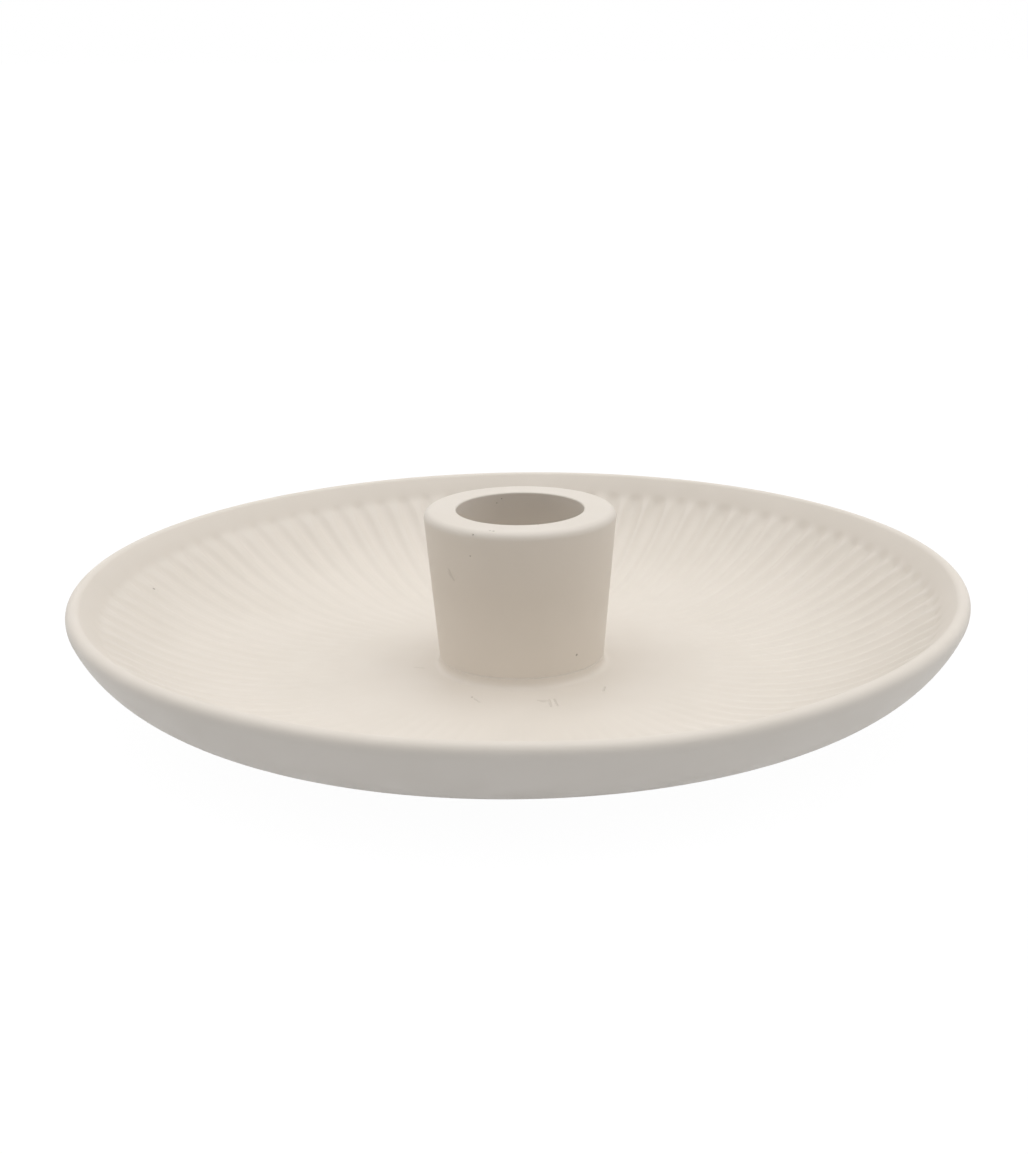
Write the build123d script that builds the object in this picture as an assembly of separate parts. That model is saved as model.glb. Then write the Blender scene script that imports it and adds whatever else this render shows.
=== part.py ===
from build123d import *
import math
import os

# Candle plate: a round ceramic dish with fluted walls and a tapered candle socket in its middle.
# Millimetres, +Z up. The origin is on the resting plane, under the middle of the dish.

# Dish
plate_radius = 80.0
lip_radius = 1.45
lip_height_over_floor = 15.15
bowl_radius = 54.0
floor_thickness = 3.6
shoulder_radius = 3.0
belly_radius = 21.5
belly_height_over_floor = 22.5
base_slope = 20.0

# Foot ring under the dish
foot_height = 1.0
foot_radius = 47.0
foot_width = 8.0
foot_edge = 0.3

# Flutes in the inner wall. The dish is made in equal sectors, each with its own flutes.
sector_count = 6
flutes_per_sector = 15
flute_nose_radius = 5.6
flute_depth_at_floor = 0.08
flute_depth_at_rim = 0.44
flute_gap_to_lip = 2.9
flute_land = 0.3
flute_run_on_floor = 12.0

# Candle socket
socket_height = 28.8
socket_top_radius = 17.4
socket_foot_radius = 14.9
socket_edge_radius = 1.4
bore_radius = 11.5
bore_depth = 24.0
bore_edge = 0.3
bore_bottom_radius = 1.5

# Slip that joins the socket to the dish
slip_thickness = 0.3
slip_fillet_radius = 1.7
slip_edge = 0.12

# Felt pads under the foot ring
pad_count = 4
pad_radius = 3.5
pad_thickness = 1.0
pad_edge = 0.15

# Overrun for all cuts
overrun = 2.0

# Heights worked out from the sizes above
foot_bottom = pad_thickness
underside = foot_bottom + foot_height
floor_level = underside + floor_thickness
lip_level = floor_level + lip_height_over_floor
slip_top = floor_level + slip_thickness
socket_top = slip_top + socket_height

# Centres of the round stretches of the dish's section, as (radius, height)
lip_centre_radius = plate_radius - lip_radius
bowl_run = math.sqrt(
    (2 * bowl_radius + lip_radius - lip_height_over_floor) * (lip_radius + lip_height_over_floor)
)
bowl_centre_radius = lip_centre_radius - bowl_run
bowl_centre_level = floor_level + bowl_radius
shoulder_centre_radius = plate_radius - shoulder_radius
belly_centre_level = floor_level + belly_height_over_floor
belly_run = math.sqrt((belly_radius - shoulder_radius) ** 2 - (belly_centre_level - lip_level) ** 2)
belly_centre_radius = shoulder_centre_radius - belly_run
base_turn = math.radians(base_slope)
belly_low_level = belly_centre_level - belly_radius * math.cos(base_turn)
base_radius = (belly_low_level - underside) / (1 - math.cos(base_turn))
base_centre_radius = belly_centre_radius - (base_radius - belly_radius) * math.sin(base_turn)
base_centre_level = underside + base_radius

# Angles in degrees
sector_turn = 360 / sector_count
flute_turn = sector_turn / flutes_per_sector
pad_turn = 360 / pad_count

# Radii of the foot ring
foot_inner_radius = foot_radius - foot_width
pad_circle_radius = foot_radius - foot_width / 2


def at(radius, height):
    """A point of a section, in the XZ plane."""
    return Vector(radius, 0, height)


def bend(centre, start, end):
    """An arc of under a half circle about a centre."""
    radius = (start - centre).length
    middle = (start - centre).normalized() + (end - centre).normalized()
    return ThreePointArc(start, centre + middle.normalized() * radius, end)


def turned(edges, turn=360):
    """The solid that a closed section makes as it turns about the Z axis."""
    section = make_face(Wire(edges))
    return revolve(section, Axis.Z, revolution_arc=turn)


def plain_sector():
    """A sector of the dish before its flutes: floor, bowl wall, lip, belly and foot ring."""
    bowl_centre = at(bowl_centre_radius, bowl_centre_level)
    lip_centre = at(lip_centre_radius, lip_level)
    shoulder_centre = at(shoulder_centre_radius, lip_level)
    belly_centre = at(belly_centre_radius, belly_centre_level)
    base_centre = at(base_centre_radius, base_centre_level)

    floor_end = at(bowl_centre_radius, floor_level)
    lip_start = lip_centre + (bowl_centre - lip_centre).normalized() * lip_radius
    rim = at(plate_radius, lip_level)
    belly_start = belly_centre + (shoulder_centre - belly_centre).normalized() * belly_radius
    belly_end = belly_centre + Vector(math.sin(base_turn), 0, -math.cos(base_turn)) * belly_radius
    base_drop = math.sqrt(base_radius ** 2 - (foot_radius - base_centre_radius) ** 2)
    base_end = at(foot_radius, base_centre_level - base_drop)

    foot_points = [
        base_end,
        at(foot_radius, foot_bottom + foot_edge),
        at(foot_radius - foot_edge, foot_bottom),
        at(foot_inner_radius + foot_edge, foot_bottom),
        at(foot_inner_radius, foot_bottom + foot_edge),
        at(foot_inner_radius, underside),
        at(0, underside),
        at(0, floor_level),
        floor_end,
    ]
    edges = [Line(a, b) for a, b in zip(foot_points, foot_points[1:])]
    edges.append(bend(bowl_centre, floor_end, lip_start))
    edges.append(bend(lip_centre, lip_start, rim))
    edges.append(bend(shoulder_centre, rim, belly_start))
    edges.append(bend(belly_centre, belly_start, belly_end))
    edges.append(bend(base_centre, belly_end, base_end))
    return turned(edges, sector_turn)


def flute_cutter():
    """The space of one flute: a ring-shaped tool kept to its own slice and below the lip."""
    lip_start_radius = bowl_centre_radius + bowl_run * bowl_radius / (bowl_radius + lip_radius)
    flute_end_radius = lip_start_radius - flute_gap_to_lip
    end_share = (flute_end_radius - bowl_centre_radius) / bowl_radius
    tool_shift = (flute_depth_at_rim - flute_depth_at_floor) / end_share
    tool_reach = bowl_radius + flute_depth_at_floor
    tool_centre = at(bowl_centre_radius + tool_shift, bowl_centre_level)

    nose_centre = tool_centre - Vector(0, 0, tool_reach - flute_nose_radius)
    nose = Plane(nose_centre, x_dir=(0, 1, 0), z_dir=(1, 0, 0)) * Circle(flute_nose_radius)
    ring = revolve(nose, Axis(tool_centre, (0, 1, 0)))

    start_radius = bowl_centre_radius - flute_run_on_floor
    half_slice = math.tan(math.radians(flute_turn / 2))
    start_half = start_radius * half_slice - flute_land / 2
    end_half = flute_end_radius * half_slice - flute_land / 2
    outline = Polyline(
        (start_radius, -start_half),
        (flute_end_radius, -end_half),
        (flute_end_radius, end_half),
        (start_radius, start_half),
        close=True,
    )
    slice_floor = Pos(0, 0, underside) * make_face(outline)
    slice_block = extrude(slice_floor, amount=lip_level - underside + overrun)
    return ring & slice_block


def candle_dish():
    """The fluted dish: one sector is cut, and its copies are joined round the axis."""
    cutter = flute_cutter()
    cutters = [Rot(0, 0, flute_turn * (number + 0.5)) * cutter for number in range(flutes_per_sector)]
    sector = plain_sector().cut(*cutters)
    copies = [Rot(0, 0, sector_turn * number) * sector for number in range(1, sector_count)]
    return sector.fuse(*copies)


def candle_socket():
    """The tapered cup that holds the candle, standing on the slip."""
    slope = math.atan2(socket_top_radius - socket_foot_radius, socket_height)
    foot = at(socket_foot_radius, slip_top)
    top = at(socket_top_radius, socket_top)
    edge_run = socket_edge_radius * math.tan((math.pi / 2 + slope) / 2)
    edge_outer = top - (top - foot).normalized() * edge_run
    edge_inner = top - Vector(edge_run, 0, 0)
    edge_centre = edge_inner - Vector(0, 0, socket_edge_radius)

    bore_bottom = socket_top - bore_depth
    mouth_outer = at(bore_radius + bore_edge, socket_top)
    mouth_inner = at(bore_radius, socket_top - bore_edge)
    mouth_centre = at(bore_radius + bore_edge, socket_top - bore_edge)
    wall_end = at(bore_radius, bore_bottom + bore_bottom_radius)
    bottom_end = at(bore_radius - bore_bottom_radius, bore_bottom)
    bottom_centre = at(bore_radius - bore_bottom_radius, bore_bottom + bore_bottom_radius)

    edges = [
        Line(at(0, slip_top), foot),
        Line(foot, edge_outer),
        bend(edge_centre, edge_outer, edge_inner),
        Line(edge_inner, mouth_outer),
        bend(mouth_centre, mouth_outer, mouth_inner),
        Line(mouth_inner, wall_end),
        bend(bottom_centre, wall_end, bottom_end),
        Line(bottom_end, at(0, bore_bottom)),
        Line(at(0, bore_bottom), at(0, slip_top)),
    ]
    return turned(edges)


def slip_joint():
    """The thin bed of slip under the socket, with the fillet that it forms round the foot."""
    side_share = (slip_fillet_radius - slip_thickness) / socket_height
    side_radius = socket_foot_radius + (socket_top_radius - socket_foot_radius) * side_share
    fillet_top = at(side_radius, floor_level + slip_fillet_radius)
    skirt_radius = side_radius + slip_fillet_radius
    skirt = at(skirt_radius, floor_level + slip_edge)
    fillet_middle_share = 1 - math.sqrt(0.5)
    hollow = at(
        side_radius + (skirt_radius - side_radius) * fillet_middle_share,
        skirt.Z + (fillet_top.Z - skirt.Z) * fillet_middle_share,
    )
    edges = [
        Line(at(0, floor_level), at(skirt_radius, floor_level)),
        Line(at(skirt_radius, floor_level), skirt),
        ThreePointArc(skirt, hollow, fillet_top),
        Line(fillet_top, at(socket_foot_radius, slip_top)),
        Line(at(socket_foot_radius, slip_top), at(0, slip_top)),
        Line(at(0, slip_top), at(0, floor_level)),
    ]
    return turned(edges)


def felt_pad(number):
    """One round felt pad under the foot ring."""
    pad = extrude(Circle(pad_radius), amount=pad_thickness)
    pad = chamfer(pad.edges().group_by(Axis.Z)[0], pad_edge)
    return Rot(0, 0, pad_turn * (number + 0.5)) * Pos(pad_circle_radius, 0, 0) * pad


def main():
    os.makedirs("parts", exist_ok=True)
    export_step(candle_dish(), "parts/candle_dish.step")
    export_step(candle_socket(), "parts/candle_socket.step")
    export_step(slip_joint(), "parts/slip_joint.step")
    for number in range(pad_count):
        export_step(felt_pad(number), f"parts/felt_pad_{number + 1}.step")


main()
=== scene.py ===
import math
import random

import bpy
import numpy as np
from mathutils import Matrix, Vector


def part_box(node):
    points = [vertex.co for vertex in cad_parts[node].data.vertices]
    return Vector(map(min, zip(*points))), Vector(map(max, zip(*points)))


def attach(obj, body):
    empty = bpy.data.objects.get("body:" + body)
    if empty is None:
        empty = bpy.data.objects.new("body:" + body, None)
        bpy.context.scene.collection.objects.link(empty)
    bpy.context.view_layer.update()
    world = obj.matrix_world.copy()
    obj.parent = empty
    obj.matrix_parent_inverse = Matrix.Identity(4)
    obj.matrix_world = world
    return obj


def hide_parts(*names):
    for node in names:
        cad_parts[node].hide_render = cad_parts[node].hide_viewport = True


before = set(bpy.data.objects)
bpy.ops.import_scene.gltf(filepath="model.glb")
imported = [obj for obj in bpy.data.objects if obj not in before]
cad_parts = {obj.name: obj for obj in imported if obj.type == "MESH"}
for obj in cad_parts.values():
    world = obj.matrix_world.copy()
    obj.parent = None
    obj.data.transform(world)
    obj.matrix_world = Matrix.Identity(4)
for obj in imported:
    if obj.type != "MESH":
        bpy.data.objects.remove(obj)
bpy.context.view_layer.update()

MM = 0.001
SQUARE_TURN = math.pi / 2
HALF_TURN = math.pi
FULL_TURN = 2 * math.pi

# Sizes read from the frame
dish_low, dish_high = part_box("candle_dish")
socket_low, socket_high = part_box("candle_socket")
rim_radius = dish_high.x
rim_top = dish_high.z
floor_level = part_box("slip_joint")[0].z
foot_bottom = dish_low.z
slip_top = socket_low.z
socket_top = socket_high.z

# Section of the dish
lip_radius = 1.45 * MM
bowl_radius = 54.0 * MM
shoulder_radius = 3.0 * MM
belly_radius = 21.5 * MM
belly_height_over_floor = 22.5 * MM
base_slope = math.radians(20.0)
foot_height = 1.0 * MM
foot_radius = 47.0 * MM
foot_width = 8.0 * MM
foot_edge = 0.3 * MM

# Flutes
flute_count = 90
columns_per_flute = 12
column_crowding = 0.06
flute_nose_radius = 2.35 * MM
flute_depth_at_floor = 0.10 * MM
flute_depth_at_rim = 0.90 * MM
flute_gap_to_lip = 1.9 * MM
flute_fade_start = 31.0 * MM
flute_fade_end = 45.0 * MM
flute_onset_start = 30.5 * MM
flute_onset_end = 32.5 * MM
flute_rise_power = 1.2
flute_end_slope = 0.47
flute_end_round = 4.0 * MM
flute_end_softness = 0.32 * MM
ridge_softness = 0.09 * MM
flute_depth_spread = 0.12
flute_depth_lean = 0.27
flute_seed = 11

# Faint channel round the dish, near the upper ends of the flutes
channel_depth = 0.34 * MM
channel_width = 1.7 * MM
channel_gap_to_end = 1.6 * MM

# Slight dips of the handmade rim, as (angle, width, drop), and where they fade out
rim_dips = [
    (math.radians(-72), math.radians(22), 1.06 * MM),
    (math.radians(-105), math.radians(14), 0.38 * MM),
]
dip_start_radius = 60.0 * MM
dip_end_radius = 76.0 * MM
dip_start_level = 8.0 * MM
dip_end_level = 20.0 * MM

# Rings that each stretch of the dish's section is drawn with
plain_floor_radii = [radius * MM for radius in (4, 10, 15, 20, 25, 28, 30)]
fluted_floor_rings = 10
bowl_rings = 36
bowl_end_turn = 0.10
bowl_end_rings = 26
lip_rings = 18
shoulder_rings = 9
belly_rings = 18
base_rings = 14
foot_edge_rings = 6
sole_rings = 6
recess_edge_rings = 5
recess_radii = [radius * MM for radius in (36, 28, 20, 10, 3)]
clay_rings_before_sole = 2
clay_rings_after_sole = 1

# Socket
socket_top_radius = 17.4 * MM
socket_foot_radius = 14.9 * MM
socket_edge_radius = 1.4 * MM
socket_sole_gap = 0.1 * MM
bore_radius = 11.5 * MM
bore_depth = 24.0 * MM
bore_edge = 0.3 * MM
bore_bottom_radius = 1.5 * MM
bore_floor_shares = (0.6, 0.2)
socket_columns = 192
socket_side_rings = 20
socket_edge_rings = 12
socket_top_rings = 5
bore_edge_rings = 7
bore_wall_rings = 14
bore_bottom_rings = 8

# Slip fillet round the socket's foot
fillet_radius = 2.0 * MM
fillet_spread = 0.16 * MM
fillet_waves = (2, 3, 5, 9)
fillet_seed = 5
fillet_sink = 0.004 * MM
fillet_ease = 1.6
fillet_rings = 20
slip_top_gap = 0.3 * MM
wave_low_share = 0.4
wave_high_share = 1.0

# Felt pads
pad_count = 4
pad_columns = 72
pad_edge = 0.22 * MM
pad_edge_rings = 5
pad_face_shares = (0.3, 0.6, 0.85)
pad_nap = 0.03 * MM
pad_nap_start_share = 0.9
pad_seed = 40

# Camera
camera_distance = 314.3 * MM
camera_height = 117.45 * MM
camera_pitch = math.radians(16.95)
camera_yaw = math.radians(1.894)
camera_roll = math.radians(-0.216)
camera_focal_px = 1809.0
camera_centre_px = 578.2
camera_nearest = 10.0 * MM
camera_farthest = 50000.0 * MM
photo_width_px = 1028
photo_height_px = 1154
sensor_width = 36.0

# Pinholes as (place, radius), and tool marks as (start, end, half width), in millimetres
dish_pinholes = [
    ((-69.3, 14.5, 16.0), 0.30),
    ((-65.1, -21.2, 14.4), 0.26),
    ((61.4, -25.2, 13.1), 0.28),
    ((-8.8, -18.4, 5.6), 0.22),
]
dish_marks = [
    ((4.6, -20.2, 5.6), (4.9, -23.6, 5.6), 0.20),
    ((5.5, -20.0, 5.6), (6.0, -23.2, 5.6), 0.17),
    ((2.6, -20.4, 5.6), (4.5, -20.8, 5.6), 0.16),
    ((3.1, -21.1, 5.6), (4.0, -21.3, 5.6), 0.14),
    ((-8.4, -19.2, 5.6), (-7.4, -21.0, 5.6), 0.15),
    ((14.5, -14.4, 5.6), (14.2, -16.4, 5.6), 0.20),
    ((-19.6, -2.7, 5.6), (-17.9, -3.1, 5.6), 0.16),
]
slip_marks = [
    ((14.9, -8.4, 6.4), (15.3, -10.6, 5.7), 0.22),
    ((14.9, -11.4, 5.7), (14.7, -12.8, 5.7), 0.16),
]
socket_pinholes = [
    ((9.65, -11.9, 10.8), 0.24),
    ((-4.6, -15.3, 34.7), 0.24),
    ((-5.2, -15.0, 34.7), 0.18),
    ((-8.1, -15.0, 34.0), 0.15),
    ((-8.7, -14.6, 30.1), 0.14),
    ((-3.4, 10.9, 33.6), 0.17),
    ((-4.3, 10.6, 32.9), 0.15),
    ((3.1, -11.6, 34.7), 0.20),
]
socket_marks = [
    ((-12.6, -11.1, 26.6), (-11.6, -11.7, 24.9), 0.22),
    ((-12.9, -10.8, 26.2), (-12.2, -11.2, 25.4), 0.18),
]
pinhole_darkness = 0.65
pinhole_core_share = 0.5
pinhole_edge_share = 1.2
mark_darkness = 0.13
mark_core_share = 0.4
mark_edge_share = 1.3

# Glaze, with noise scales in cells per metre
cloud_scale = 55
cloud_detail = 3
cloud_range = (0.35, 0.7)
pit_scale = 330
pit_rarity = 0.992
pit_radius = 0.07
pit_core_share = 0.5
pit_depth = 0.10 * MM
gloss_scale = 160
gloss_range = (0.3, 0.7)
glaze_roughness = (0.50, 0.60)
glaze_specular = 0.4
skin_scale = 260
skin_depth = 0.02 * MM
tooth_scale = 2600
tooth_depth = 0.006 * MM

# Bare clay
grain_scale = 900
grain_detail = 4
grain_roughness = 0.65
grain_depth = 0.05 * MM
grain_colour_range = (0.35, 0.7)
grain_gloss_range = (0.3, 0.7)
clay_roughness = (0.82, 0.92)
clay_specular = 0.25

# Felt
fibre_scale = 1800
fibre_detail = 6
fibre_roughness = 0.75
matting_scale = 420
matting_detail = 3
matting_roughness = 0.6
matting_gloss_range = (0.3, 0.7)
felt_colour_range = (0.75, 1.25)
felt_roughness = (0.9, 1.0)
felt_depth = 0.12 * MM
felt_specular = 0.15
felt_sheen = 0.35
felt_sheen_roughness = 0.6

# Light
dome_strength = 1.49
dome_angle = math.radians(112)
key_strength = 0.84
key_angle = math.radians(60)
left_strength = 0.49
right_strength = 0.74
side_angle = math.radians(80)
side_height = math.radians(30)
back_strength = 0.12
back_height = math.radians(40)
fill_strength = 0.01
background_strength = 1.0

# Floor of the stage
floor_reach = 6000.0 * MM
floor_gap = 0.02 * MM
floor_white_strength = 1.05
floor_white_share = 0.93

# Colours, linear
GLAZE = (0.765, 0.705, 0.632, 1.0)
GLAZE_SHADE = (0.750, 0.691, 0.617, 1.0)
GLAZE_PIT = (0.300, 0.255, 0.205, 1.0)
CLAY = (0.735, 0.655, 0.560, 1.0)
CLAY_SHADE = (0.640, 0.560, 0.470, 1.0)
FELT = (0.610, 0.575, 0.510, 1.0)
FELT_SHADE = (0.430, 0.400, 0.350, 1.0)
WHITE = (1.0, 1.0, 1.0, 1.0)
FLOOR = (0.760, 0.780, 0.810, 1.0)

# Section of the dish, worked out from the sizes above: centres are (radius, height)
lip_centre = (rim_radius - lip_radius, rim_top - lip_radius)
lip_height = lip_centre[1] - floor_level
bowl_run = math.sqrt((2 * bowl_radius + lip_radius - lip_height) * (lip_radius + lip_height))
bowl_centre = (lip_centre[0] - bowl_run, floor_level + bowl_radius)
shoulder_centre = (rim_radius - shoulder_radius, lip_centre[1])
belly_level = floor_level + belly_height_over_floor
belly_run = math.sqrt((belly_radius - shoulder_radius) ** 2 - (belly_level - lip_centre[1]) ** 2)
belly_centre = (shoulder_centre[0] - belly_run, belly_level)
underside = foot_bottom + foot_height
base_drop = belly_level - belly_radius * math.cos(base_slope) - underside
base_radius = base_drop / (1 - math.cos(base_slope))
base_shift = (base_radius - belly_radius) * math.sin(base_slope)
base_centre = (belly_centre[0] - base_shift, underside + base_radius)
foot_inner_radius = foot_radius - foot_width

# Angles in the section, where 0 points outward and a square turn points up
down = -SQUARE_TURN
lip_start_angle = math.atan2(bowl_centre[1] - lip_centre[1], bowl_centre[0] - lip_centre[0])
bowl_end_angle = lip_start_angle - HALF_TURN
bowl_fine_angle = bowl_end_angle - bowl_end_turn
belly_start_angle = math.atan2(shoulder_centre[1] - belly_centre[1], shoulder_centre[0] - belly_centre[0])
belly_end_angle = down + base_slope
base_end_angle = -math.acos((foot_radius - base_centre[0]) / base_radius)

# Where the flutes and the channel end on the bowl's wall
lip_start_radius = lip_centre[0] + lip_radius * math.cos(lip_start_angle)
flute_end_radius = lip_start_radius - flute_gap_to_lip
channel_radius = flute_end_radius - channel_gap_to_end


# Meshes

def new_piece(name, vertices, faces, materials, face_materials):
    """A smooth mesh object of the candle plate."""
    mesh = bpy.data.meshes.new(name)
    mesh.from_pydata([tuple(vertex) for vertex in vertices], [], faces)
    for material in materials:
        mesh.materials.append(material)
    mesh.polygons.foreach_set("material_index", face_materials)
    mesh.polygons.foreach_set("use_smooth", [True] * len(mesh.polygons))
    mesh.update()
    piece = bpy.data.objects.new(name, mesh)
    bpy.context.scene.collection.objects.link(piece)
    return piece


def turned_mesh(name, radii, heights, angles, materials, ring_materials=None):
    """A closed turned form. radii and heights hold a row for each ring, from pole to pole."""
    rings, columns = radii.shape
    x = radii * np.cos(angles)
    y = radii * np.sin(angles)
    points = np.stack([x, y, heights], axis=2).reshape(-1, 3)
    first_pole = len(points)
    last_pole = first_pole + 1
    vertices = list(points) + [(0.0, 0.0, heights[0].mean()), (0.0, 0.0, heights[-1].mean())]
    faces = []
    face_materials = []
    for column in range(columns):
        following = (column + 1) % columns
        faces.append((first_pole, following, column))
        face_materials.append(0)
    for ring in range(rings - 1):
        start = ring * columns
        end = start + columns
        material = 0 if ring_materials is None else ring_materials[ring]
        for column in range(columns):
            following = (column + 1) % columns
            faces.append((start + column, start + following, end + following, end + column))
            face_materials.append(material)
    start = (rings - 1) * columns
    for column in range(columns):
        following = (column + 1) % columns
        faces.append((last_pole, start + column, start + following))
        face_materials.append(0)
    return new_piece(name, vertices, faces, materials, face_materials)


def repeated(section, columns):
    """A section's radii and heights, each repeated for all columns round the axis."""
    section = np.array(section)
    return np.repeat(section[:, :1], columns, axis=1), np.repeat(section[:, 1:], columns, axis=1)


def even_angles(columns):
    """Angles of evenly spaced columns round the axis."""
    return np.arange(columns) * FULL_TURN / columns


def arc(centre, radius, start, end, count, skip_first=False):
    """Points of an arc in the section, as (radius, height) from angle start to angle end."""
    turns = np.linspace(start, end, count)
    if skip_first:
        turns = turns[1:]
    return [(centre[0] + radius * math.cos(turn), centre[1] + radius * math.sin(turn)) for turn in turns]


def line(start, end, count):
    """Points of a straight stretch after its start."""
    run = end[0] - start[0]
    rise = end[1] - start[1]
    return [(start[0] + run * share, start[1] + rise * share) for share in np.linspace(0, 1, count + 1)[1:]]


def soft_low(first, second, softness):
    """The lower of two heights, rounded where they meet."""
    return (first + second - np.sqrt((first - second) ** 2 + softness ** 2)) / 2


def soft_high(first, second, softness):
    """The higher of two heights, rounded where they meet."""
    return (first + second + np.sqrt((first - second) ** 2 + softness ** 2)) / 2


def smooth_step(low, high, value):
    """0 below low, 1 above high, and an even curve between them."""
    share = np.clip((value - low) / (high - low), 0, 1)
    return share * share * (3 - 2 * share)


# Dish

def flute_columns():
    """Angles of the columns and how far each is from the middle of its flute."""
    turn = FULL_TURN / flute_count
    shares = np.arange(columns_per_flute) / columns_per_flute - 0.5
    offsets = (shares + column_crowding * np.sin(FULL_TURN * shares)) * turn
    middles = (np.arange(flute_count) + 0.5) * turn
    angles = (middles[:, None] + offsets[None, :]).ravel()
    return angles, np.tile(offsets, flute_count)


def flute_depth_shares(angles):
    """How deep each column's flute is: it differs a little by chance and is deeper on the right."""
    draws = random.Random(flute_seed)
    shares = [1 + draws.uniform(-flute_depth_spread, flute_depth_spread) for _ in range(flute_count)]
    return np.repeat(shares, columns_per_flute) * (1 + flute_depth_lean * np.cos(angles))


def flute_depth(radii, offsets, depth_shares):
    """Depth of the flutes and of the channel near their ends, below the plain bowl."""
    rise = (radii - bowl_centre[0]) / (flute_end_radius - bowl_centre[0])
    rise = np.maximum(rise, 0) ** flute_rise_power
    middle = flute_depth_at_floor + (flute_depth_at_rim - flute_depth_at_floor) * rise
    middle = middle * smooth_step(flute_fade_start, flute_fade_end, radii) * depth_shares
    across = radii * np.tan(offsets)
    hollow = middle - across ** 2 / (2 * flute_nose_radius)
    end_radii = flute_end_radius - across ** 2 / (2 * flute_end_round)
    end_wall = (end_radii - radii) * flute_end_slope
    hollow = soft_low(hollow, end_wall, flute_end_softness)
    channel = channel_depth * np.exp(-((radii - channel_radius) / channel_width) ** 2)
    depth = soft_high(hollow, channel, ridge_softness)
    return depth * smooth_step(flute_onset_start, flute_onset_end, radii)


def rim_dip(angles):
    """How far the handmade rim dips under a level circle, round the axis."""
    total = np.zeros_like(angles)
    for middle, width, drop in rim_dips:
        off = np.angle(np.exp(1j * (angles - middle)))
        total = total + drop * np.exp(-(off / width) ** 2)
    return total


def build_dish(glaze, clay):
    """The fluted dish, from the middle of its floor over the lip to the middle of its underside."""
    plain_floor = [(radius, floor_level) for radius in plain_floor_radii]
    fluted_floor = line(plain_floor[-1], (bowl_centre[0], floor_level), fluted_floor_rings)
    bowl = arc(bowl_centre, bowl_radius, down, bowl_fine_angle, bowl_rings, True)
    bowl += arc(bowl_centre, bowl_radius, bowl_fine_angle, bowl_end_angle, bowl_end_rings, True)
    inside = plain_floor + fluted_floor + bowl

    outside = arc(lip_centre, lip_radius, lip_start_angle, 0, lip_rings, True)
    outside += arc(shoulder_centre, shoulder_radius, 0, belly_start_angle, shoulder_rings, True)
    outside += arc(belly_centre, belly_radius, belly_start_angle, belly_end_angle, belly_rings, True)
    outside += arc(base_centre, base_radius, belly_end_angle, base_end_angle, base_rings, True)

    edge_level = foot_bottom + foot_edge
    foot = arc((foot_radius - foot_edge, edge_level), foot_edge, 0, down, foot_edge_rings)
    inner_edge_centre = (foot_inner_radius + foot_edge, edge_level)
    sole = line(foot[-1], (inner_edge_centre[0], foot_bottom), sole_rings)
    recess = arc(inner_edge_centre, foot_edge, down, -HALF_TURN, foot_edge_rings, True)
    corner_centre = (foot_inner_radius - foot_edge, underside - foot_edge)
    recess += arc(corner_centre, foot_edge, 0, SQUARE_TURN, recess_edge_rings)
    recess += [(radius, underside) for radius in recess_radii]

    section = inside + outside + foot + sole + recess
    sole_end = len(section) - len(recess)
    clay_start = sole_end - len(sole) - clay_rings_before_sole
    clay_end = sole_end + clay_rings_after_sole
    ring_materials = [1 if clay_start <= ring < clay_end else 0 for ring in range(len(section))]

    angles, offsets = flute_columns()
    radii, heights = repeated(section, len(angles))
    fluted = slice(0, len(inside))
    plain = slice(len(inside), None)
    dips = rim_dip(angles)[None, :]
    heights[fluted] -= dips * smooth_step(dip_start_radius, dip_end_radius, radii[fluted])
    heights[plain] -= dips * smooth_step(dip_start_level, dip_end_level, heights[plain])
    depth = flute_depth(radii[fluted], offsets[None, :], flute_depth_shares(angles)[None, :])
    outward = np.maximum(radii[fluted] - bowl_centre[0], 0) / bowl_radius
    heights[fluted] -= depth * np.sqrt(1 - outward ** 2)
    radii[fluted] += depth * outward
    return turned_mesh("dish", radii, heights, angles[None, :], [glaze, clay], ring_materials)


# Socket and slip

def build_socket(glaze):
    """The tapered socket with its flat top, rounded outer edge and blind hole."""
    slope = math.atan2(socket_top_radius - socket_foot_radius, socket_top - slip_top)
    edge_run = socket_edge_radius * math.tan((SQUARE_TURN + slope) / 2)
    edge_centre = (socket_top_radius - edge_run, socket_top - socket_edge_radius)
    foot = (socket_foot_radius, slip_top)
    side_end = arc(edge_centre, socket_edge_radius, -slope, -slope, 1)[0]
    mouth_centre = (bore_radius + bore_edge, socket_top - bore_edge)
    bottom = socket_top - bore_depth
    bottom_centre = (bore_radius - bore_bottom_radius, bottom + bore_bottom_radius)

    section = [(socket_foot_radius / 2, slip_top), (socket_foot_radius - socket_sole_gap, slip_top), foot]
    section += line(foot, side_end, socket_side_rings)
    section += arc(edge_centre, socket_edge_radius, -slope, SQUARE_TURN, socket_edge_rings, True)
    section += line(section[-1], (mouth_centre[0], socket_top), socket_top_rings)
    section += arc(mouth_centre, bore_edge, SQUARE_TURN, HALF_TURN, bore_edge_rings, True)
    section += line(section[-1], (bore_radius, bottom_centre[1]), bore_wall_rings)
    section += arc(bottom_centre, bore_bottom_radius, 0, down, bore_bottom_rings, True)
    section += [(bore_radius * share, bottom) for share in bore_floor_shares]
    radii, heights = repeated(section, socket_columns)
    return turned_mesh("socket", radii, heights, even_angles(socket_columns)[None, :], [glaze])


def wavy(angles, seed, size, waves):
    """A slow uneven run round the axis, as a hand leaves it."""
    draws = random.Random(seed)
    total = np.zeros_like(angles)
    for wave in waves:
        height = draws.uniform(wave_low_share, wave_high_share)
        total = total + height * np.sin(wave * angles + draws.uniform(0, FULL_TURN))
    return size * total / len(waves)


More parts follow.
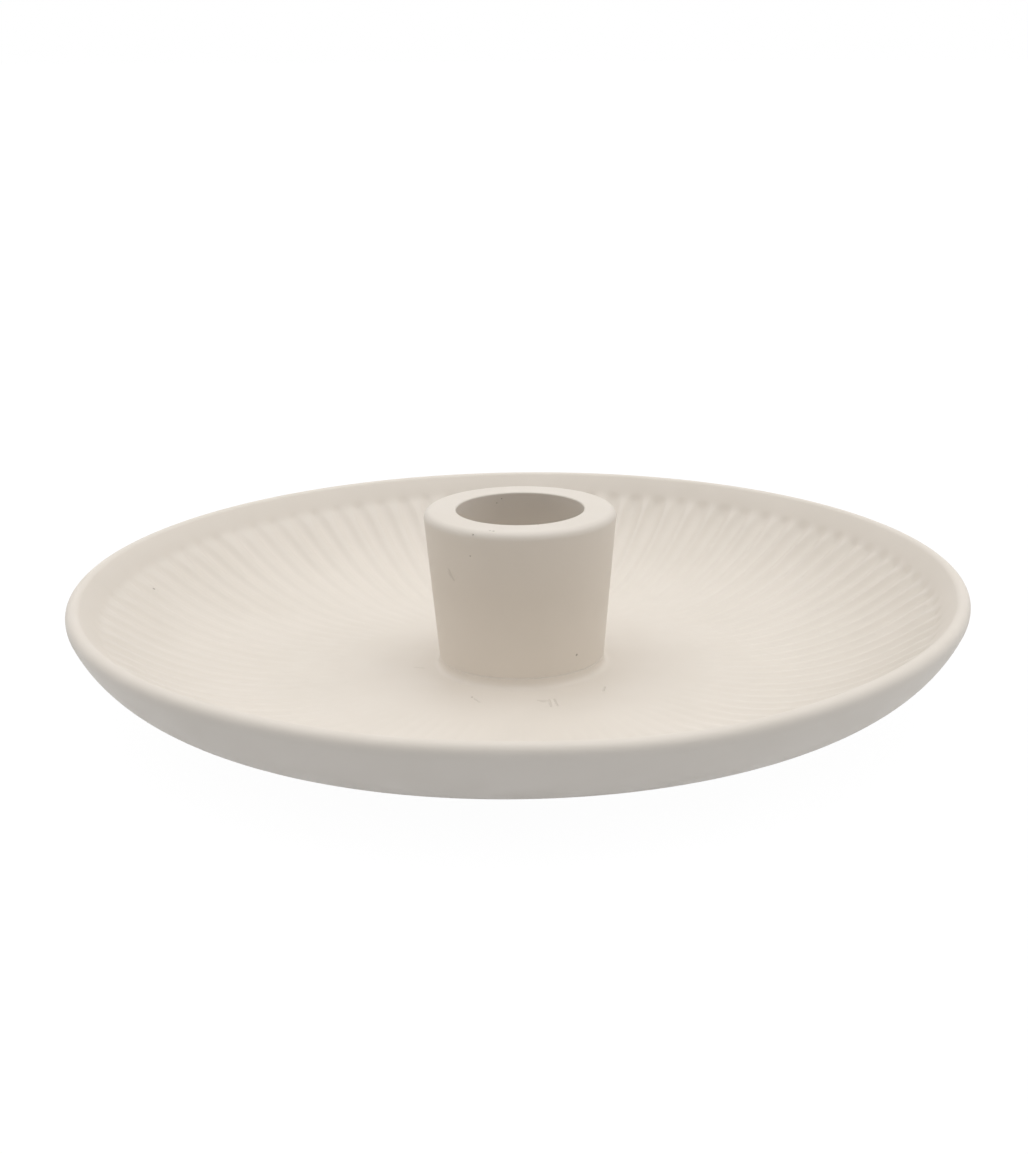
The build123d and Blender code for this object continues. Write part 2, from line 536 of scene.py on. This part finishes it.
def build_slip(glaze):
    """The fillet of slip between the socket's side and the floor of the dish."""
    slope = (socket_top_radius - socket_foot_radius) / (socket_top - slip_top)
    angles = even_angles(socket_columns)
    ones = np.ones_like(angles)
    reach = fillet_radius + wavy(angles, fillet_seed, fillet_spread, fillet_waves)
    bottom = floor_level - fillet_sink
    radii = [ones * socket_foot_radius / 2, ones * socket_foot_radius]
    heights = [ones * bottom, ones * bottom]
    for turn in np.linspace(0, SQUARE_TURN, fillet_rings):
        rise = reach * (1 - math.cos(turn)) ** fillet_ease
        side = socket_foot_radius + slope * np.maximum(rise - (slip_top - floor_level), 0)
        radii.append(side + reach * (1 - math.sin(turn)))
        heights.append(bottom + rise)
    radii += [ones * (socket_foot_radius - slip_top_gap), ones * socket_foot_radius / 2]
    heights += [ones * slip_top, ones * slip_top]
    return turned_mesh("slip_fillet", np.array(radii), np.array(heights), angles[None, :], [glaze])


# Felt pads

def build_pad(number, felt):
    """One felt disc under the foot ring, with a soft uneven edge."""
    low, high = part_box(f"felt_pad_{number}")
    centre = (low + high) / 2
    radius = (high.x - low.x) / 2
    edge_radius = radius - pad_edge
    section = [(radius * share, low.z) for share in pad_face_shares]
    section += arc((edge_radius, low.z + pad_edge), pad_edge, down, 0, pad_edge_rings)
    section += [(radius, centre.z)]
    section += arc((edge_radius, high.z - pad_edge), pad_edge, 0, SQUARE_TURN, pad_edge_rings)
    section += [(radius * share, high.z) for share in reversed(pad_face_shares)]
    section.reverse()
    radii, heights = repeated(section, pad_columns)
    draws = random.Random(pad_seed + number)
    for ring in np.flatnonzero(radii[:, 0] > radius * pad_nap_start_share):
        radii[ring] -= [draws.uniform(0, pad_nap) for _ in range(pad_columns)]
    pad = turned_mesh(f"felt_disc_{number}", radii, heights, even_angles(pad_columns)[None, :], [felt])
    pad.data.transform(Matrix.Translation((centre.x, centre.y, 0)))
    return pad


# Materials

class Nodes:
    """Short calls that add and join the nodes of one material."""

    def __init__(self, material):
        material.use_nodes = True
        self.tree = material.node_tree
        self.shader = self.tree.nodes["Principled BSDF"]
        self.coordinates = self.tree.nodes.new("ShaderNodeTexCoord").outputs["Object"]

    def put(self, target, value):
        """Links a socket to a target, or sets the target to a plain value."""
        if isinstance(value, bpy.types.NodeSocket):
            self.tree.links.new(value, target)
        elif value is not None:
            target.default_value = value

    def shade(self, name, value):
        """Links or sets one input of the shader."""
        self.put(self.shader.inputs[name], value)

    def noise(self, scale, detail=2.0, roughness=0.5):
        """Smooth noise from 0 to 1."""
        node = self.tree.nodes.new("ShaderNodeTexNoise")
        self.put(node.inputs["Vector"], self.coordinates)
        node.inputs["Scale"].default_value = scale
        node.inputs["Detail"].default_value = detail
        node.inputs["Roughness"].default_value = roughness
        return node.outputs["Fac"]

    def cells(self, scale):
        """Distance from the middle of a cell, and the cell's own colour."""
        node = self.tree.nodes.new("ShaderNodeTexVoronoi")
        self.put(node.inputs["Vector"], self.coordinates)
        node.inputs["Scale"].default_value = scale
        return node.outputs["Distance"], node.outputs["Color"]

    def math(self, operation, first, second=None):
        """A sum of one or two values."""
        node = self.tree.nodes.new("ShaderNodeMath")
        node.operation = operation
        self.put(node.inputs[0], first)
        self.put(node.inputs[1], second)
        return node.outputs[0]

    def ramp(self, value, low, high, to_low=0.0, to_high=1.0):
        """A soft step between two values."""
        node = self.tree.nodes.new("ShaderNodeMapRange")
        node.interpolation_type = "SMOOTHSTEP"
        for name, number in (("From Min", low), ("From Max", high), ("To Min", to_low), ("To Max", to_high)):
            node.inputs[name].default_value = number
        self.put(node.inputs["Value"], value)
        return node.outputs["Result"]

    def mix(self, share, first, second):
        """A mix of two colours, which are inputs 6 and 7 of the node and its output 2."""
        node = self.tree.nodes.new("ShaderNodeMix")
        node.data_type = "RGBA"
        self.put(node.inputs[0], share)
        self.put(node.inputs[6], first)
        self.put(node.inputs[7], second)
        return node.outputs[2]

    def bump(self, height, distance, normal=None):
        """A normal bent by a height."""
        node = self.tree.nodes.new("ShaderNodeBump")
        node.inputs["Strength"].default_value = 1.0
        node.inputs["Distance"].default_value = distance
        self.put(node.inputs["Height"], height)
        self.put(node.inputs["Normal"], normal)
        return node.outputs["Normal"]

    def vector(self, operation, first, second=None, scale=None):
        """A sum of one or two vectors."""
        node = self.tree.nodes.new("ShaderNodeVectorMath")
        node.operation = operation
        self.put(node.inputs[0], first)
        self.put(node.inputs[1], second)
        if scale is not None:
            self.put(node.inputs["Scale"], scale)
        kept = "Value" if operation in ("DOT_PRODUCT", "LENGTH", "DISTANCE") else "Vector"
        return node.outputs[kept]

    def dot(self, place, radius):
        """A soft dot at one place: 1 in its middle and 0 outside."""
        distance = self.vector("DISTANCE", self.coordinates, Vector(place) * MM)
        core = radius * pinhole_core_share * MM
        edge = radius * pinhole_edge_share * MM
        return self.ramp(distance, core, edge, 1.0, 0.0)

    def mark(self, start, end, half_width):
        """A short soft stroke from one place to another."""
        run = (Vector(end) - Vector(start)) * MM
        offset = self.vector("SUBTRACT", self.coordinates, Vector(start) * MM)
        share = self.math("DIVIDE", self.vector("DOT_PRODUCT", offset, run), run.length_squared)
        share.node.use_clamp = True
        beside = self.vector("SUBTRACT", offset, self.vector("SCALE", run, scale=share))
        core = half_width * mark_core_share * MM
        edge = half_width * mark_edge_share * MM
        return self.ramp(self.vector("LENGTH", beside), core, edge, 1.0, 0.0)

    def highest(self, values):
        """The highest of some values, or 0 where there are none."""
        total = 0.0
        for value in values:
            total = self.math("MAXIMUM", value, total)
        return total

    def pits(self, scale, rarity, radius):
        """Sparse round pits: 1 in a pit and 0 elsewhere."""
        distance, colour = self.cells(scale)
        split = self.tree.nodes.new("ShaderNodeSeparateColor")
        self.put(split.inputs[0], colour)
        chosen = self.math("GREATER_THAN", split.outputs[0], rarity)
        dot = self.ramp(distance, radius * pit_core_share, radius, 1.0, 0.0)
        return self.math("MULTIPLY", chosen, dot)


def glaze_material(name, pinholes, marks):
    """Matt off-white glaze: faint clouds, a very fine tooth, and its own pinholes and tool marks."""
    material = bpy.data.materials.new(name)
    nodes = Nodes(material)
    clouds = nodes.ramp(nodes.noise(cloud_scale, cloud_detail), *cloud_range)
    pits = nodes.pits(pit_scale, pit_rarity, pit_radius)
    holes = nodes.highest([pits] + [nodes.dot(*pinhole) for pinhole in pinholes])
    strokes = nodes.highest([nodes.mark(*mark) for mark in marks])
    colour = nodes.mix(clouds, GLAZE, GLAZE_SHADE)
    colour = nodes.mix(nodes.math("MULTIPLY", strokes, mark_darkness), colour, GLAZE_PIT)
    colour = nodes.mix(nodes.math("MULTIPLY", holes, pinhole_darkness), colour, GLAZE_PIT)
    gloss = nodes.noise(gloss_scale)
    skin = nodes.bump(nodes.noise(skin_scale), skin_depth)
    tooth = nodes.bump(nodes.noise(tooth_scale), tooth_depth, skin)
    sunk = nodes.math("MULTIPLY", nodes.math("MAXIMUM", holes, strokes), -1.0)
    nodes.shade("Base Color", colour)
    nodes.shade("Roughness", nodes.ramp(gloss, *gloss_range, *glaze_roughness))
    nodes.shade("Normal", nodes.bump(sunk, pit_depth, tooth))
    nodes.shade("Specular IOR Level", glaze_specular)
    return material


def clay_material():
    """Bare fired clay on the sole of the foot ring."""
    material = bpy.data.materials.new("bare_clay")
    nodes = Nodes(material)
    grain = nodes.noise(grain_scale, grain_detail, grain_roughness)
    nodes.shade("Base Color", nodes.mix(nodes.ramp(grain, *grain_colour_range), CLAY, CLAY_SHADE))
    nodes.shade("Roughness", nodes.ramp(grain, *grain_gloss_range, *clay_roughness))
    nodes.shade("Normal", nodes.bump(grain, grain_depth))
    nodes.shade("Specular IOR Level", clay_specular)
    return material


def felt_material():
    """Pressed felt: matted fibres, no weave."""
    material = bpy.data.materials.new("pale_felt")
    nodes = Nodes(material)
    fibres = nodes.noise(fibre_scale, fibre_detail, fibre_roughness)
    matting = nodes.noise(matting_scale, matting_detail, matting_roughness)
    height = nodes.math("ADD", fibres, matting)
    nodes.shade("Base Color", nodes.mix(nodes.ramp(height, *felt_colour_range), FELT_SHADE, FELT))
    nodes.shade("Roughness", nodes.ramp(matting, *matting_gloss_range, *felt_roughness))
    nodes.shade("Normal", nodes.bump(height, felt_depth))
    nodes.shade("Specular IOR Level", felt_specular)
    nodes.shade("Sheen Weight", felt_sheen)
    nodes.shade("Sheen Roughness", felt_sheen_roughness)
    return material


# Stage, light and camera

def background_rays(tree):
    """1 for rays that see the background: from the camera, in reflections and through glass."""
    path = tree.nodes.new("ShaderNodeLightPath")
    total = path.outputs["Is Camera Ray"]
    for name in ("Is Glossy Ray", "Is Transmission Ray"):
        node = tree.nodes.new("ShaderNodeMath")
        node.operation = "MAXIMUM"
        tree.links.new(total, node.inputs[0])
        tree.links.new(path.outputs[name], node.inputs[1])
        total = node.outputs[0]
    return total


def mix_shaders(tree, share, first, second):
    """The output of a node that mixes two shaders."""
    node = tree.nodes.new("ShaderNodeMixShader")
    for target, source in zip(node.inputs, (share, first, second)):
        tree.links.new(source, target)
    return node.outputs[0]


def floor_material():
    """Matt white that is nearly even to the eye, and clear from below."""
    material = bpy.data.materials.new("white_floor")
    material.use_nodes = True
    tree = material.node_tree
    matt = tree.nodes["Principled BSDF"]
    matt.inputs["Base Color"].default_value = FLOOR
    matt.inputs["Roughness"].default_value = 1.0
    matt.inputs["Specular IOR Level"].default_value = 0.0
    white = tree.nodes.new("ShaderNodeEmission")
    white.inputs["Color"].default_value = WHITE
    white.inputs["Strength"].default_value = floor_white_strength
    share = tree.nodes.new("ShaderNodeMath")
    share.operation = "MULTIPLY"
    share.inputs[1].default_value = floor_white_share
    tree.links.new(background_rays(tree), share.inputs[0])
    surface = mix_shaders(tree, share.outputs[0], matt.outputs[0], white.outputs[0])
    clear = tree.nodes.new("ShaderNodeBsdfTransparent").outputs[0]
    from_below = tree.nodes.new("ShaderNodeNewGeometry").outputs["Backfacing"]
    one_sided = mix_shaders(tree, from_below, surface, clear)
    tree.links.new(one_sided, tree.nodes["Material Output"].inputs["Surface"])
    return material


def build_floor():
    """A white floor that keeps a faint shadow of the plate."""
    sides = [(-1, -1), (1, -1), (1, 1), (-1, 1)]
    corners = [(across * floor_reach, along * floor_reach, -floor_gap) for across, along in sides]
    mesh = bpy.data.meshes.new("floor")
    mesh.from_pydata(corners, [], [(0, 1, 2, 3)])
    mesh.materials.append(floor_material())
    floor = bpy.data.objects.new("floor", mesh)
    bpy.context.scene.collection.objects.link(floor)


def build_world():
    """White to the eye, and a weak even fill on the object."""
    world = bpy.data.worlds.new("studio")
    bpy.context.scene.world = world
    world.use_nodes = True
    tree = world.node_tree
    background = tree.nodes["Background"]
    background.inputs["Color"].default_value = WHITE
    strength = tree.nodes.new("ShaderNodeMapRange")
    strength.inputs["To Min"].default_value = fill_strength
    strength.inputs["To Max"].default_value = background_strength
    tree.links.new(background_rays(tree), strength.inputs["Value"])
    tree.links.new(strength.outputs["Result"], background.inputs["Strength"])


def add_lamp(name, strength, angle, towards):
    """A soft distant lamp that shines along a direction."""
    lamp = bpy.data.lights.new(name, "SUN")
    lamp.energy = strength
    lamp.angle = angle
    light = bpy.data.objects.new(name, lamp)
    light.rotation_euler = Vector(towards).to_track_quat("-Z", "Y").to_euler()
    bpy.context.scene.collection.objects.link(light)


def build_light():
    """A broad dome of light, a narrower light from above, and weak lights from the sides and the back."""
    side_run = math.cos(side_height)
    side_fall = -math.sin(side_height)
    add_lamp("dome", dome_strength, dome_angle, (0, 0, -1))
    add_lamp("overhead", key_strength, key_angle, (0, 0, -1))
    add_lamp("left", left_strength, side_angle, (side_run, 0, side_fall))
    add_lamp("right", right_strength, side_angle, (-side_run, 0, side_fall))
    add_lamp("back", back_strength, side_angle, (0, -math.cos(back_height), -math.sin(back_height)))


def build_camera():
    """The photograph's view."""
    camera = bpy.data.cameras.new("camera")
    camera.sensor_width = sensor_width
    camera.lens = camera_focal_px * sensor_width / photo_height_px
    camera.shift_x = (photo_width_px / 2 - camera_centre_px) / photo_height_px
    camera.clip_start = camera_nearest
    camera.clip_end = camera_farthest
    flat = Vector((math.sin(camera_yaw), math.cos(camera_yaw), 0))
    level = Vector((math.cos(camera_yaw), -math.sin(camera_yaw), 0))
    up_axis = Vector((0, 0, 1))
    forward = flat * math.cos(camera_pitch) - up_axis * math.sin(camera_pitch)
    above = flat * math.sin(camera_pitch) + up_axis * math.cos(camera_pitch)
    right = level * math.cos(camera_roll) + above * math.sin(camera_roll)
    top = above * math.cos(camera_roll) - level * math.sin(camera_roll)
    matrix = Matrix((right, top, -forward)).transposed().to_4x4()
    matrix.translation = (0, -camera_distance, camera_height)
    viewer = bpy.data.objects.new("camera", camera)
    viewer.matrix_world = matrix
    bpy.context.scene.collection.objects.link(viewer)
    bpy.context.scene.camera = viewer


def take_place(piece, node):
    """The piece stands for its CAD node and rides with it."""
    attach(piece, "root")
    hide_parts(node)


def main():
    dish_glaze = glaze_material("dish_glaze", dish_pinholes, dish_marks)
    socket_glaze = glaze_material("socket_glaze", socket_pinholes, socket_marks)
    slip_glaze = glaze_material("slip_glaze", [], slip_marks)
    clay = clay_material()
    felt = felt_material()
    take_place(build_dish(dish_glaze, clay), "candle_dish")
    take_place(build_socket(socket_glaze), "candle_socket")
    take_place(build_slip(slip_glaze), "slip_joint")
    for number in range(1, pad_count + 1):
        take_place(build_pad(number, felt), f"felt_pad_{number}")
    build_floor()
    build_world()
    build_light()
    build_camera()
    bpy.context.scene.view_settings.view_transform = "Standard"


main()
